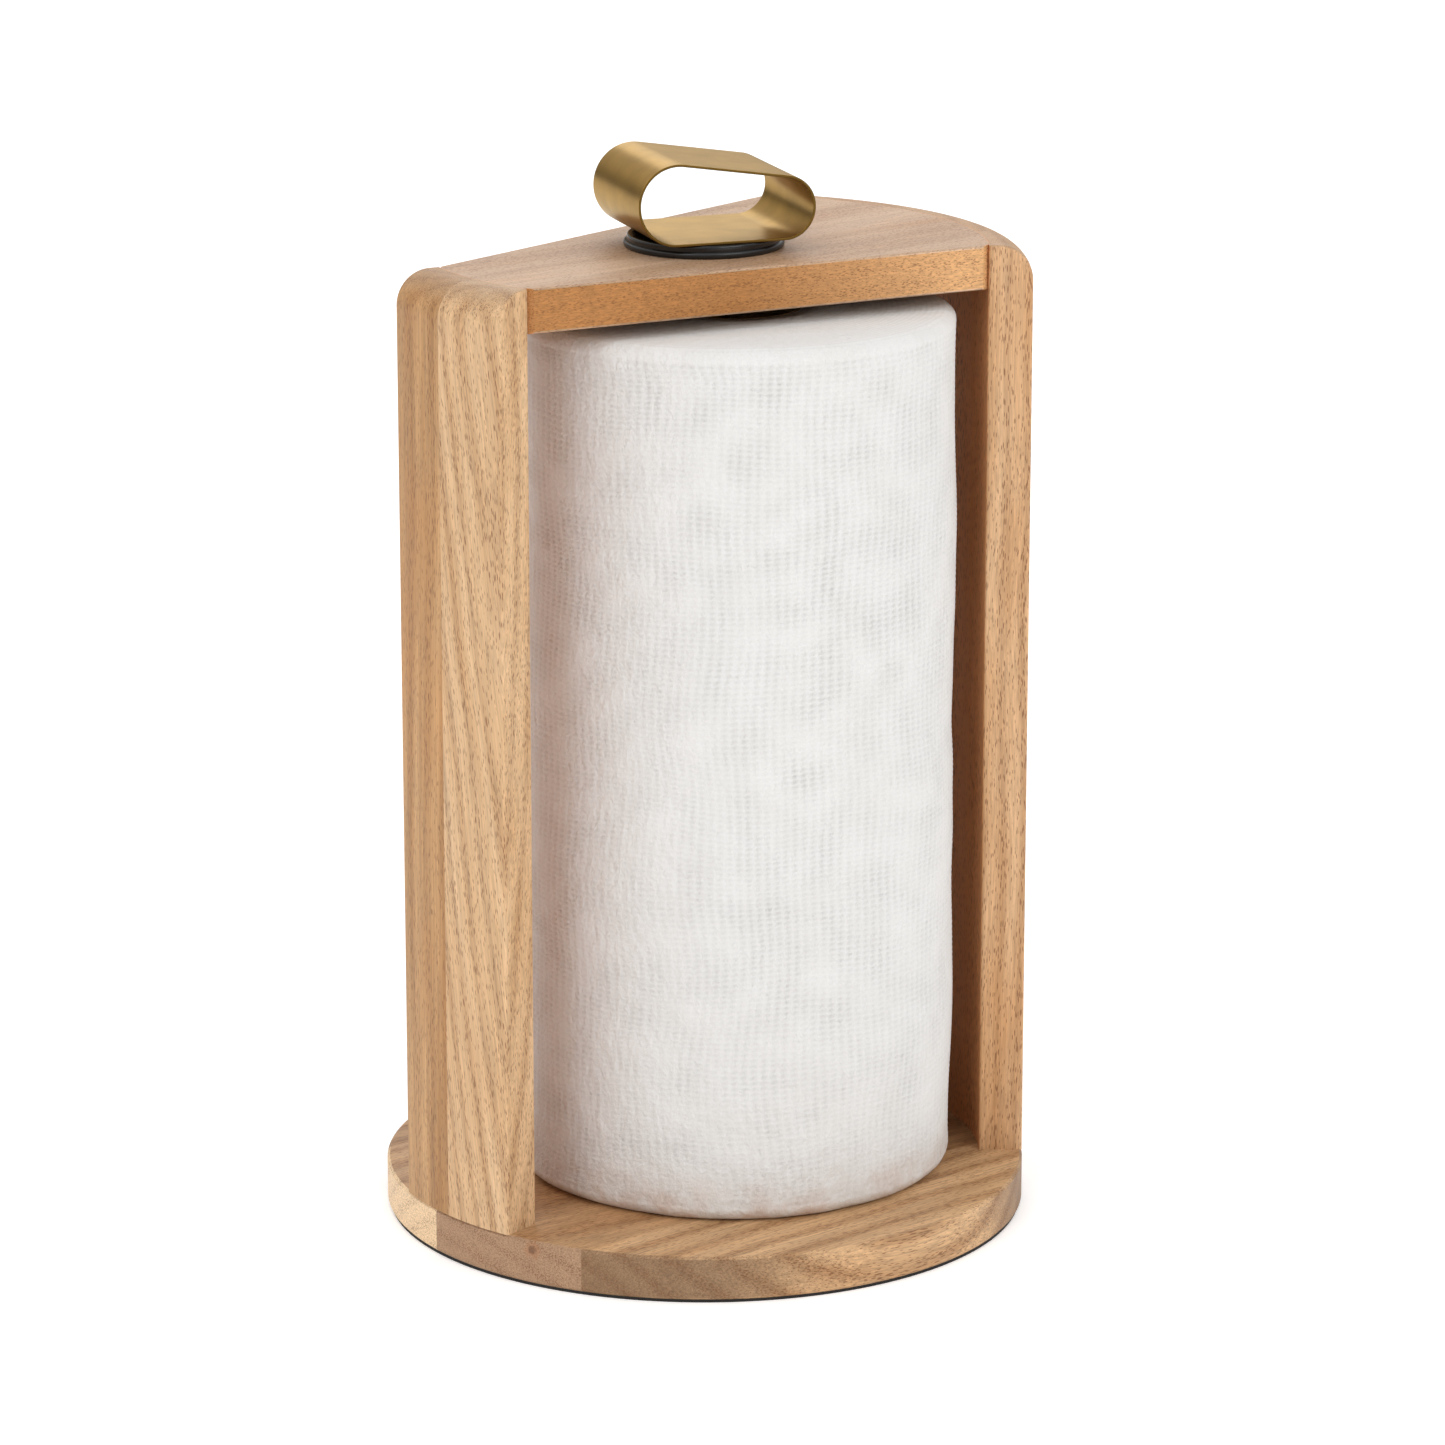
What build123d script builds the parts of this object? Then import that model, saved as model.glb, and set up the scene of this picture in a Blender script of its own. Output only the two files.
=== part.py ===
from build123d import *
from math import cos, radians, sin
import os

# Paper towel holder. A round base carries one narrow and one wide curved upright,
# a wedge-shaped top board ties them together, and a lift-out rod with a brass
# handle loop passes down through the board and the core of the paper roll.
# Millimetres. The origin is the centre of the foot, +Z is up, the open front
# faces -Y, the narrow upright stands on the -X side and the wide one on +X.

# --- driving dimensions ------------------------------------------------------

BASE_RADIUS = 103.0  # the uprights stand flush with the rim
BASE_THICKNESS = 14.0
PLANK_WIDTH = 58.0  # the base is glued up from planks this wide
PLANK_JOINT_Y = 7.0  # the glue line nearest the middle
EASE = 0.8  # every exposed wooden edge is broken by this much

PAD_THICKNESS = 1.0
PAD_INSET = 0.8  # how far the pad stops short of the base's rim

WALL_THICKNESS = 14.0  # both uprights
NARROW_ARC = 30.0  # degrees round the base
WIDE_ARC = 78.5
NARROW_STAVES = 2
WIDE_STAVES = 5
TOP_ROUND = 11.0  # the large round along the uprights' outer top edge

ROLL_HEIGHT = 279.0  # a standard eleven inch roll
ROLL_RADIUS = 70.0
ROLL_EDGE_ROUND = 4.0
ROLL_HEADROOM = 5.0  # free height between the roll and the top board
ROLL_X = 6.4  # the roll stands loosely, off the rod's axis
ROLL_Y = -6.8
CORE_RADIUS = 21.5
CORE_WALL = 0.8

BOARD_THICKNESS = 14.0
BOARD_CHAMFER = 2.0  # on the board's four upright corners, against the walls

ROD_RADIUS = 8.0
ROD_WALL = 1.5
ROD_CLEARANCE = 0.5  # round the rod, in the board's hole and in the socket
SOCKET_DEPTH = 7.0  # blind hole in the base
FOOT_GAP = 0.6  # between the foot and the socket's floor
FOOT_HEAD = 3.0  # height of the foot's head below the tube
FOOT_SPIGOT = 12.0  # length of the foot inside the tube
FOOT_ROUND = 1.6

RING_RADIUS = 25.2  # soft ring that the rod hangs on
RING_THICKNESS = 2.2
RING_ROUND = 0.9
RING_BORE_CLEARANCE = 0.08  # the rod turns in the ring
DISC_RADIUS = 24.2
DISC_THICKNESS = 2.0
DISC_ROUND = 0.8

PLUG_LENGTH = 24.0  # threaded plug in the top of the tube
STUD_RADIUS = 3.0
STUD_LENGTH = 20.0
STUD_HOLE_CLEARANCE = 0.2
STUD_FLANGE_RADIUS = 6.0  # weld flange on the stud, sunk in the disc
STUD_FLANGE_THICKNESS = 0.8

LOOP_LENGTH = 58.0
LOOP_TALL_RADIUS = 12.9  # outer radius of the tall end
LOOP_LOW_RADIUS = 10.2  # outer radius of the low end
LOOP_WIDTH = 45.0
LOOP_WALL = 0.8
LOOP_EDGE_ROUND = 0.2
LOOP_TURN = -19.3  # degrees, how the handle is left turned

SCREW_RADIUS = 2.0
SCREW_HEAD_RADIUS = 4.0
SCREW_HEAD_HEIGHT = 2.2
SCREW_LENGTH = 40.0
DRIVE_ACROSS = 2.0  # square drive recess in each screw head
DRIVE_DEPTH = 1.4

DOWEL_RADIUS = 3.0
DOWEL_IN_WALL = 9.0
DOWEL_IN_BOARD = 14.0

# --- levels, radii and angles worked out from them ---------------------------

base_bottom = PAD_THICKNESS
base_top = base_bottom + BASE_THICKNESS
roll_top = base_top + ROLL_HEIGHT
board_bottom = roll_top + ROLL_HEADROOM
board_top = board_bottom + BOARD_THICKNESS
ring_top = board_top + RING_THICKNESS
disc_top = ring_top + DISC_THICKNESS
foot_bottom = base_top - SOCKET_DEPTH + FOOT_GAP
tube_bottom = foot_bottom + FOOT_HEAD

wall_inner = BASE_RADIUS - WALL_THICKNESS
wall_middle = BASE_RADIUS - WALL_THICKNESS / 2
tube_bore = ROD_RADIUS - ROD_WALL
rod_hole = ROD_RADIUS + ROD_CLEARANCE


def stave_middles(facing, arc, count):
    """The direction in which the middle of each stave of an upright faces."""
    step = arc / count
    return [facing - arc / 2 + step * (n + 0.5) for n in range(count)]


narrow_middles = stave_middles(180, NARROW_ARC, NARROW_STAVES)
wide_middles = stave_middles(0, WIDE_ARC, WIDE_STAVES)
wide_fixings = wide_middles[1:-1]  # the end staves take no screw or dowel

os.makedirs("parts", exist_ok=True)


def save(part, name):
    """Label one finished piece and write its file."""
    part.label = name
    export_step(part, f"parts/{name}.step")


def places_around(radius, angles, height):
    """One place for each angle, at one radius, with its own x axis facing outwards."""
    return [Rot(0, 0, angle) * Pos(radius, 0, height) for angle in angles]


# --- fixings: the space they take is cut out of the wood below ---------------


def wood_screws(angles):
    """Countersunk screws that stand head down under the middle of a wall."""
    up = (Align.CENTER, Align.CENTER, Align.MIN)
    with BuildPart() as screws:
        with Locations(places_around(wall_middle, angles, base_bottom)):
            Cylinder(SCREW_RADIUS, SCREW_LENGTH, align=up)
            Cone(SCREW_HEAD_RADIUS, SCREW_RADIUS, SCREW_HEAD_HEIGHT, align=up)
    return screws.part


def top_dowels(angles):
    """Dowels along the radius, part in the wall and part in the top board."""
    middle = wall_inner + (DOWEL_IN_WALL - DOWEL_IN_BOARD) / 2
    height = (board_bottom + board_top) / 2
    with BuildPart() as dowels:
        with Locations(places_around(middle, angles, height)):
            Cylinder(DOWEL_RADIUS, DOWEL_IN_WALL + DOWEL_IN_BOARD, rotation=(0, 90, 0))
    return dowels.part


screw_sets = {
    "narrow_upright_screws": (narrow_middles, wood_screws(narrow_middles)),
    "wide_upright_screws": (wide_fixings, wood_screws(wide_fixings)),
}
dowel_sets = {
    "narrow_end_dowels": top_dowels(narrow_middles),
    "wide_end_dowels": top_dowels(wide_fixings),
}

fixing_space = [space for _, space in screw_sets.values()]
fixing_space += dowel_sets.values()
fixing_space = [solid for space in fixing_space for solid in space.solids()]

for name, (angles, space) in screw_sets.items():
    with BuildPart() as screws:
        add(space)
        with Locations(places_around(wall_middle, angles, base_bottom)):
            Box(
                DRIVE_ACROSS,
                DRIVE_ACROSS,
                DRIVE_DEPTH,
                align=(Align.CENTER, Align.CENTER, Align.MIN),
                mode=Mode.SUBTRACT,
            )
    save(screws.part, name)

for name, space in dowel_sets.items():
    save(space, name)

# --- base: a disc glued up from planks, with a blind socket for the rod ------

joint_lines = [PLANK_JOINT_Y + PLANK_WIDTH * n for n in (-1, 0, 1)]
plank_edges = [-BASE_RADIUS, *joint_lines, BASE_RADIUS]

for number, (near, far) in enumerate(zip(plank_edges, plank_edges[1:]), start=1):
    with BuildPart() as plank:
        with BuildSketch(Plane.XY.offset(base_bottom)):
            Circle(BASE_RADIUS)
            with Locations((0, (near + far) / 2)):
                Rectangle(2 * BASE_RADIUS, far - near, mode=Mode.INTERSECT)
        extrude(amount=BASE_THICKNESS)
        chamfer(plank.edges().filter_by(GeomType.CIRCLE), EASE)
        with BuildSketch(Plane.XY.offset(base_top)):
            Circle(rod_hole)
        extrude(amount=-SOCKET_DEPTH, mode=Mode.SUBTRACT)
        add(fixing_space, mode=Mode.SUBTRACT)
    save(plank.part, f"base_plank_{number}")

with BuildPart() as base_pad:
    Cylinder(
        BASE_RADIUS - PAD_INSET,
        PAD_THICKNESS,
        align=(Align.CENTER, Align.CENTER, Align.MIN),
    )
save(base_pad.part, "base_pad")

# --- uprights: curved walls with radial ends, built up from staves -----------


def curved_wall(facing, arc):
    """A whole upright: a slice of a ring, with one large round on its shoulder."""
    with BuildPart() as wall:
        with BuildSketch(Plane.XY.offset(base_top)):
            with BuildLine():
                outer = CenterArc((0, 0), BASE_RADIUS, facing - arc / 2, arc)
                inner = CenterArc((0, 0), wall_inner, facing - arc / 2, arc)
                Line(outer @ 0, inner @ 0)
                Line(outer @ 1, inner @ 1)
            make_face()
        extrude(amount=board_top - base_top)
        top_arcs = wall.edges().filter_by(GeomType.CIRCLE).group_by(Axis.Z)[-1]
        fillet(top_arcs.sort_by(SortBy.RADIUS)[-1], TOP_ROUND)
        ends = wall.faces().filter_by(GeomType.PLANE).filter_by(Plane.XY, reverse=True)
        foot, *exposed = ends.edges().group_by(Axis.Z)
        fillet([edge for group in exposed for edge in group], EASE)
    return wall.part


def save_staves(name, facing, arc, middles):
    """Cut one upright along its glue lines and write each stave."""
    upright = curved_wall(facing, arc)
    step = arc / len(middles)
    for number, middle in enumerate(middles, start=1):
        with BuildPart() as stave:
            add(upright)
            if number > 1:
                split(bisect_by=Plane.XZ.rotated((0, 0, middle - step / 2)), keep=Keep.BOTTOM)
            if number < len(middles):
                split(bisect_by=Plane.XZ.rotated((0, 0, middle + step / 2)), keep=Keep.TOP)
            add(fixing_space, mode=Mode.SUBTRACT)
        save(stave.part, f"{name}_stave_{number}")


save_staves("narrow", 180, NARROW_ARC, narrow_middles)
save_staves("wide", 0, WIDE_ARC, wide_middles)

# --- top board: a wedge between the inner faces of the two walls -------------

with BuildPart() as top_board:
    with BuildSketch(Plane.XY.offset(board_bottom)):
        with BuildLine():
            wide_end = CenterArc((0, 0), wall_inner, -WIDE_ARC / 2, WIDE_ARC)
            narrow_end = CenterArc((0, 0), wall_inner, 180 - NARROW_ARC / 2, NARROW_ARC)
            Line(wide_end @ 1, narrow_end @ 0)
            Line(narrow_end @ 1, wide_end @ 0)
        make_face()
    extrude(amount=BOARD_THICKNESS)
    chamfer(top_board.edges().filter_by(Axis.Z), BOARD_CHAMFER)
    long_edges = top_board.edges().filter_by(GeomType.LINE).filter_by(Axis.Z, reverse=True)
    fillet(long_edges.filter_by(lambda edge: edge.length > WALL_THICKNESS), EASE)
    with Locations((0, 0, board_top)):
        Hole(rod_hole)
    add(fixing_space, mode=Mode.SUBTRACT)
save(top_board.part, "top_board")

# --- lift-out rod: ring, disc, tube, foot, plug, stud and handle loop --------

with BuildPart() as rest_ring:
    with BuildSketch(Plane.XY.offset(board_top)):
        Circle(RING_RADIUS)
        Circle(ROD_RADIUS + RING_BORE_CLEARANCE, mode=Mode.SUBTRACT)
    extrude(amount=RING_THICKNESS)
    rims = rest_ring.edges().filter_by(GeomType.CIRCLE).group_by(SortBy.RADIUS)[-1]
    fillet(rims, RING_ROUND)
save(rest_ring.part, "rest_ring")

with BuildPart() as cap_disc:
    with BuildSketch(Plane.XY.offset(ring_top)):
        Circle(DISC_RADIUS)
    extrude(amount=DISC_THICKNESS)
    fillet(cap_disc.edges().group_by(Axis.Z)[-1], DISC_ROUND)
    with Locations((0, 0, disc_top)):
        CounterBoreHole(
            STUD_RADIUS + STUD_HOLE_CLEARANCE,
            STUD_FLANGE_RADIUS + STUD_HOLE_CLEARANCE,
            STUD_FLANGE_THICKNESS,
        )
save(cap_disc.part, "cap_disc")

with BuildPart() as rod_tube:
    with BuildSketch(Plane.XY.offset(tube_bottom)):
        Circle(ROD_RADIUS)
        Circle(tube_bore, mode=Mode.SUBTRACT)
    extrude(amount=ring_top - tube_bottom)
save(rod_tube.part, "rod_tube")

with BuildPart() as rod_foot:
    with BuildSketch(Plane.XY.offset(foot_bottom)):
        Circle(ROD_RADIUS)
    extrude(amount=FOOT_HEAD)
    fillet(rod_foot.edges().group_by(Axis.Z)[0], FOOT_ROUND)
    with BuildSketch(Plane.XY.offset(tube_bottom)):
        Circle(tube_bore)
    extrude(amount=FOOT_SPIGOT)
save(rod_foot.part, "rod_foot")

with BuildPart() as rod_plug:
    with BuildSketch(Plane.XY.offset(ring_top)):
        Circle(tube_bore)
    extrude(amount=-PLUG_LENGTH)
    with Locations((0, 0, ring_top)):
        Hole(STUD_RADIUS, STUD_LENGTH)
save(rod_plug.part, "rod_plug")

with BuildPart() as handle_stud:
    with BuildSketch(Plane.XY.offset(disc_top)):
        Circle(STUD_RADIUS)
    extrude(amount=-STUD_LENGTH)
    with BuildSketch(Plane.XY.offset(disc_top)):
        Circle(STUD_FLANGE_RADIUS)
    extrude(amount=-STUD_FLANGE_THICKNESS)
save(handle_stud.part, "handle_stud")

turn = radians(LOOP_TURN)
loop_plane = Plane(
    origin=(0, 0, disc_top),
    x_dir=(cos(turn), sin(turn), 0),
    z_dir=(sin(turn), -cos(turn), 0),
)

with BuildPart() as handle_loop:
    with BuildSketch(loop_plane):
        with Locations((LOOP_TALL_RADIUS - LOOP_LENGTH / 2, LOOP_TALL_RADIUS)):
            Circle(LOOP_TALL_RADIUS)
        with Locations((LOOP_LENGTH / 2 - LOOP_LOW_RADIUS, LOOP_LOW_RADIUS)):
            Circle(LOOP_LOW_RADIUS)
        make_hull()
        offset(amount=-LOOP_WALL, mode=Mode.SUBTRACT)
    extrude(amount=LOOP_WIDTH / 2, both=True)
    fillet(handle_loop.edges().filter_by(loop_plane), LOOP_EDGE_ROUND)
save(handle_loop.part, "handle_loop")

# --- paper roll, standing on the base ----------------------------------------

roll_centre = Plane(origin=(ROLL_X, ROLL_Y, base_top))

with BuildPart() as cardboard_core:
    with BuildSketch(roll_centre):
        Circle(CORE_RADIUS)
        Circle(CORE_RADIUS - CORE_WALL, mode=Mode.SUBTRACT)
    extrude(amount=ROLL_HEIGHT)
save(cardboard_core.part, "cardboard_core")

with BuildPart() as paper_roll:
    with BuildSketch(roll_centre):
        Circle(ROLL_RADIUS)
        Circle(CORE_RADIUS, mode=Mode.SUBTRACT)
    extrude(amount=ROLL_HEIGHT)
    rims = paper_roll.edges().filter_by(GeomType.CIRCLE).group_by(SortBy.RADIUS)[-1]
    fillet(rims, ROLL_EDGE_ROUND)
save(paper_roll.part, "paper_roll")
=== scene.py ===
# %% [markdown]
# # Paper towel holder in acacia, brass and paper
#
# The holder is a round wooden base, two curved uprights, a wedge-shaped top board and a
# lift-out rod with a brass loop. The design model already holds every hard part at its real
# size, so this lesson loads it as a fixed frame, gives each part its finish, and builds the one
# soft thing, the roll of embossed paper, from scratch.

# %% Load the frame
from math import atan2, cos, hypot, pi, radians, sin, tau

import bmesh
import bpy
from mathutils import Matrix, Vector, noise


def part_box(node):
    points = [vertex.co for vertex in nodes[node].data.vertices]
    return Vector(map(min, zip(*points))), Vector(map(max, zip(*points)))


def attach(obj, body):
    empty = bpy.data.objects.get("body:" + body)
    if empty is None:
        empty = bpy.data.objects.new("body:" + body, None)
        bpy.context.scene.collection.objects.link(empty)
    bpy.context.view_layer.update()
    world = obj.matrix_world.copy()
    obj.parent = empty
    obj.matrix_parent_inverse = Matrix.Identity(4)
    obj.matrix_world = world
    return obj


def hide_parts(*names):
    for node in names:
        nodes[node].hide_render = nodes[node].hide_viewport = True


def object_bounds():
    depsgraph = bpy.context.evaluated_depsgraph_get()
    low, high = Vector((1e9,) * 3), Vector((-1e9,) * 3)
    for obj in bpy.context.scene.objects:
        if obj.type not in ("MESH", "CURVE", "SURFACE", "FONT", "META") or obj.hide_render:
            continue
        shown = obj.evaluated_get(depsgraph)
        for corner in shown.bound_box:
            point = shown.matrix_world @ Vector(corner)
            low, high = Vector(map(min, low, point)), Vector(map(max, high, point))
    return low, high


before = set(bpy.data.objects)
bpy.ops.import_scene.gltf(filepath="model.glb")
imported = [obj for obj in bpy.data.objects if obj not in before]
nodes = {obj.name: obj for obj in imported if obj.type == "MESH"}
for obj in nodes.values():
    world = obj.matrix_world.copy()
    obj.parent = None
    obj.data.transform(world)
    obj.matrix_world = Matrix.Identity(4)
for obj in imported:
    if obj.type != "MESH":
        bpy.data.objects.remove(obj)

MM = 0.001
cad_low, cad_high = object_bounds()
print("parts:", len(nodes), "size in mm:", [round(side / MM, 1) for side in cad_high - cad_low])

# %% [markdown]
# ## A few small helpers
#
# A finish is a tree of shader nodes. Every node is added the same way: its kind, what goes into
# its sockets (a value, or the socket that feeds it) and its settings. So one function serves
# for all of them and hands back the socket that the next node needs. Colours are written as the
# hex values a paint chart gives, and one function turns them into the linear light that a
# shader works in. Where a finish mixes two tones, socket 0 takes the share and sockets 6 and 7
# take the colours.

# %% Colours and nodes
mix_colour = {"data_type": "RGBA", "give": 2}


def linear(hex_colour):
    """An sRGB hex colour as linear red, green, blue and alpha."""
    shares = [int(hex_colour[place:place + 2], 16) / 255 for place in (1, 3, 5)]
    return [s / 12.92 if s <= 0.04045 else ((s + 0.055) / 1.055) ** 2.4 for s in shares] + [1.0]


def add_node(tree, kind, feeds=None, give=0, **settings):
    """Add a node, set it, feed its sockets with values or links, and return one output or all."""
    made = tree.nodes.new("ShaderNode" + kind)
    for setting, value in settings.items():
        setattr(made, setting, value)
    for socket, value in (feeds or {}).items():
        if isinstance(value, bpy.types.NodeSocket):
            tree.links.new(value, made.inputs[socket])
        else:
            made.inputs[socket].default_value = value
    return made.outputs if give is None else made.outputs[give]


def surface_with(tree, settings):
    """End a finish: one principled shader, wired to the material's output."""
    shader = add_node(tree, "BsdfPrincipled", settings)
    add_node(tree, "OutputMaterial", {"Surface": shader}, give=None)


def new_finish(name):
    """An empty material and its node tree."""
    material = bpy.data.materials.new(name)
    material.use_nodes = True
    material.node_tree.nodes.clear()
    return material, material.node_tree


def paint(material, *names):
    """Put one finish on every material slot of these parts."""
    for name in names:
        for slot in nodes[name].material_slots:
            slot.material = material


def set_down(shape, name, smooth=True):
    """Turn a finished bmesh into an object at the origin."""
    mesh = bpy.data.meshes.new(name)
    shape.to_mesh(mesh)
    shape.free()
    mesh.polygons.foreach_set("use_smooth", [smooth] * len(mesh.polygons))
    piece = bpy.data.objects.new(name, mesh)
    bpy.context.collection.objects.link(piece)
    return piece


print("brown oxide in linear light:", [round(share, 3) for share in linear("#8A5F3C")])

# %% [markdown]
# ## Acacia
#
# The holder is oiled acacia, planed and sanded, with no film on top: a honey tan ground, growth
# rings that show as soft bands, and open pores that show as short dark dashes along the grain
# and as dots where the wood is cut across. A flat picture of wood could not turn the corner
# from face to end grain. So the wood is worked out in the solid: every pattern is squeezed
# thin across the grain and long with it, and a face then shows whatever it cuts. Each stave
# and plank comes from another tree, so each gets its own tones, grain direction and seed.

# %% Acacia
PORE_GAP = 0.53 * MM  # between pores, across the grain
FIBRE_GAP = 0.55 * MM  # real fibres are finer than a hair, so they are drawn this coarse to show
FIBRE_RUN = 26 * MM
BAND_GAP = 6 * MM  # broad tone bands
BAND_RUN = 170 * MM
WANDER = 5 * MM  # how far the grain strays sideways
WANDER_RUN = 80 * MM
PATCH_GAP, PATCH_RUN = 22 * MM, 95 * MM  # heartwood patches
RING_SQUEEZE = 0.15  # a ring strays this much less along the trunk than round it
WALL_INSIDE = 89 * MM  # radius of the uprights' inner faces
BOUNCE_FADES = (0.05 * MM, 0.3 * MM)  # past the inner face, so the painted bounce light stops at its edge
BOARD_LEFT, BOARD_RIGHT = -15 * MM, 60 * MM  # where toned faces go from the left to the right tone
SEED_STEP = Vector((0.37, 0.19, 0.53))  # metres from one board's pattern to the next
PORE_EDGE = 0.09  # how softly a pore ends, in pore gaps
PORE_SUNK = 0.1 * MM


def acacia(name, grain, light, dark, seed, pith=(45, 30), ring_gap=6.5, ring_depth=0.3, streak=0.3,
           pore_run=3.8, pore_depth=0.72, pore_size=(0.28, 0.38), warm=0.35, end_tone="#A08468",
           end_share=0.55, end_from=(0.45, 0.95), faces=(), inside=0.0, knot=None):
    """One board's wood. Grain is its direction; pith (mm) is where its rings are centred.

    Pore_run is one pore's room along the grain in mm, pore_size its radius in pore gaps.

    Faces that look a given way can be toned: each is (direction, tone at the left, tone at the
    right, share, start, full), where start and full say how squarely the face must look that way.
    Inside is the share of painted orange bounce light on the faces that look at the roll.
    """
    material, tree = new_finish(name)
    place = add_node(tree, "TexCoord", give="Object")
    to_upright = Vector(grain).rotation_difference(Vector((0, 0, 1))).to_euler()
    upright = add_node(tree, "Mapping", {"Vector": place, "Rotation": to_upright})
    own = add_node(tree, "Mapping", {
        "Vector": upright,
        "Location": SEED_STEP * seed,
    })

    # the grain wanders: a slow noise pushes every pattern a few millimetres sideways
    stray = add_node(tree, "TexNoise", {"Vector": own, "Scale": 1 / WANDER_RUN, "Detail": 1.0}, give="Color")
    stray = add_node(tree, "VectorMath", {0: stray, 1: (0.5, 0.5, 0.5)}, operation="SUBTRACT")
    stray = add_node(tree, "VectorMath", {0: stray, 1: (WANDER, WANDER, WANDER)}, operation="MULTIPLY")
    fibre_place = add_node(tree, "VectorMath", {0: own, 1: stray}, operation="ADD")
    ring_place = add_node(tree, "VectorMath", {0: upright, 1: stray}, operation="ADD")

    bands = add_node(tree, "Mapping", {
        "Vector": fibre_place,
        "Scale": (1 / BAND_GAP, 1 / BAND_GAP, 1 / BAND_RUN),
    })
    bands = add_node(tree, "TexNoise", {"Vector": bands, "Scale": 1.0, "Detail": 3.0, "Roughness": 0.6})
    bands = add_node(tree, "MapRange", {"Value": bands, "From Min": 0.28, "From Max": 0.72})
    ground = add_node(tree, "Mix", {0: bands, 6: linear(light), 7: linear(dark)}, **mix_colour)

    # growth rings round the pith, drawn out along the trunk
    around = add_node(tree, "Mapping", {
        "Vector": ring_place,
        "Location": (pith[0] * MM, pith[1] * MM, seed * 0.11),
        "Scale": (1, 1, RING_SQUEEZE),
    })
    rings = add_node(tree, "TexWave", {
        "Vector": around,
        "Scale": tau / 20 / (ring_gap * MM),  # the node counts 20 radians to a unit
        "Distortion": 2.4,
        "Detail": 2.0,
        "Detail Scale": 0.5,
    }, give="Fac", wave_type="RINGS", rings_direction="Z", wave_profile="SIN")
    rings = add_node(tree, "Math", {0: rings, 1: 2.0}, operation="POWER")
    ring_share = add_node(tree, "Math", {0: rings, 1: ring_depth}, operation="MULTIPLY")
    ground = add_node(tree, "Mix", {0: ring_share, 6: ground, 7: linear("#8F6238")}, **mix_colour)

    # fine fibres, lighter and darker than the ground
    fibres = add_node(tree, "Mapping", {
        "Vector": fibre_place,
        "Scale": (1 / FIBRE_GAP, 1 / FIBRE_GAP, 1 / FIBRE_RUN),
    })
    fibres = add_node(tree, "TexNoise", {"Vector": fibres, "Scale": 1.0, "Detail": 3.0, "Roughness": 0.65})
    fibre_tone = add_node(tree, "MapRange", {"Value": fibres, "From Min": 0.25, "From Max": 0.75,
                                             "To Min": 1 - streak, "To Max": 1 + streak})
    ground = add_node(tree, "VectorMath", {0: ground, "Scale": fibre_tone}, operation="SCALE")

    # warm patches where the heartwood shows through
    patches = add_node(tree, "Mapping", {
        "Vector": fibre_place,
        "Scale": (1 / PATCH_GAP, 1 / PATCH_GAP, 1 / PATCH_RUN),
    })
    patches = add_node(tree, "TexNoise", {"Vector": patches, "Scale": 1.0, "Detail": 2.0})
    patches = add_node(tree, "MapRange", {"Value": patches, "From Min": 0.48, "From Max": 0.75,
                                          "To Max": warm})
    ground = add_node(tree, "Mix", {0: patches, 6: ground, 7: linear("#C08040")}, **mix_colour)

    # where the saw cut across the grain the wood drinks more oil, so each end has its own tone. Other faces
    # passed in are toned by the way they look, going from the left tone to the right tone along X; on the
    # top board's grooves beside the uprights that tone is painted shade
    facing = add_node(tree, "TexCoord", give="Normal")
    parts = add_node(tree, "SeparateXYZ", {"Vector": place}, give=None)
    rightward = add_node(tree, "MapRange", {"Value": parts["X"], "From Min": BOARD_LEFT,
                                            "From Max": BOARD_RIGHT})
    end_face = (grain, end_tone, end_tone, end_share, *end_from)
    for way, left_tone, right_tone, share, start, full in (end_face, *faces):
        square = add_node(tree, "VectorMath", {0: facing, 1: Vector(way).normalized()}, give=1,
                          operation="DOT_PRODUCT")
        square = add_node(tree, "Math", {0: square}, operation="ABSOLUTE")
        square = add_node(tree, "MapRange", {"Value": square, "From Min": start, "From Max": full,
                                             "To Max": share}, interpolation_type="SMOOTHSTEP")
        tone = add_node(tree, "Mix", {0: rightward, 6: linear(left_tone), 7: linear(right_tone)},
                        **mix_colour)
        tone = add_node(tree, "VectorMath", {0: tone, "Scale": fibre_tone}, operation="SCALE")
        ground = add_node(tree, "Mix", {0: square, 6: ground, 7: tone}, **mix_colour)

    if inside:  # painted bounce light: the hollow side is drawn warmer and redder, standing in for light bounced between the wooden walls
        flat = add_node(tree, "CombineXYZ", {"X": parts["X"], "Y": parts["Y"]})
        out = add_node(tree, "VectorMath", {0: flat}, give=1, operation="LENGTH")
        inside_bounce_share = add_node(tree, "MapRange", {
            "Value": out,
            "From Min": WALL_INSIDE + BOUNCE_FADES[0],
            "From Max": WALL_INSIDE + BOUNCE_FADES[1],
            "To Min": inside,
            "To Max": 0.0,
        })
        ground = add_node(tree, "Mix", {0: inside_bounce_share, 6: ground, 7: linear("#EA9C60")}, **mix_colour)

    # pores: the nearest point in a stretched cell pattern is a dash one way and a dot the other
    pores = add_node(tree, "Mapping", {
        "Vector": fibre_place,
        "Scale": (1 / PORE_GAP, 1 / PORE_GAP, 1 / (pore_run * MM)),
    })
    pores = add_node(tree, "TexVoronoi", {"Vector": pores, "Scale": 1.0}, give="Distance", feature="F1")
    wide = add_node(tree, "MapRange", {"Value": rings, "To Min": pore_size[0], "To Max": pore_size[1]})
    pores = add_node(tree, "Math", {0: wide, 1: pores}, operation="SUBTRACT")
    pores = add_node(tree, "MapRange", {"Value": pores, "From Min": 0.0, "From Max": PORE_EDGE})
    pore_share = add_node(tree, "Math", {0: pores, 1: pore_depth}, operation="MULTIPLY")
    ground = add_node(tree, "Mix", {0: pore_share, 6: ground, 7: linear("#744828")}, **mix_colour)

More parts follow.
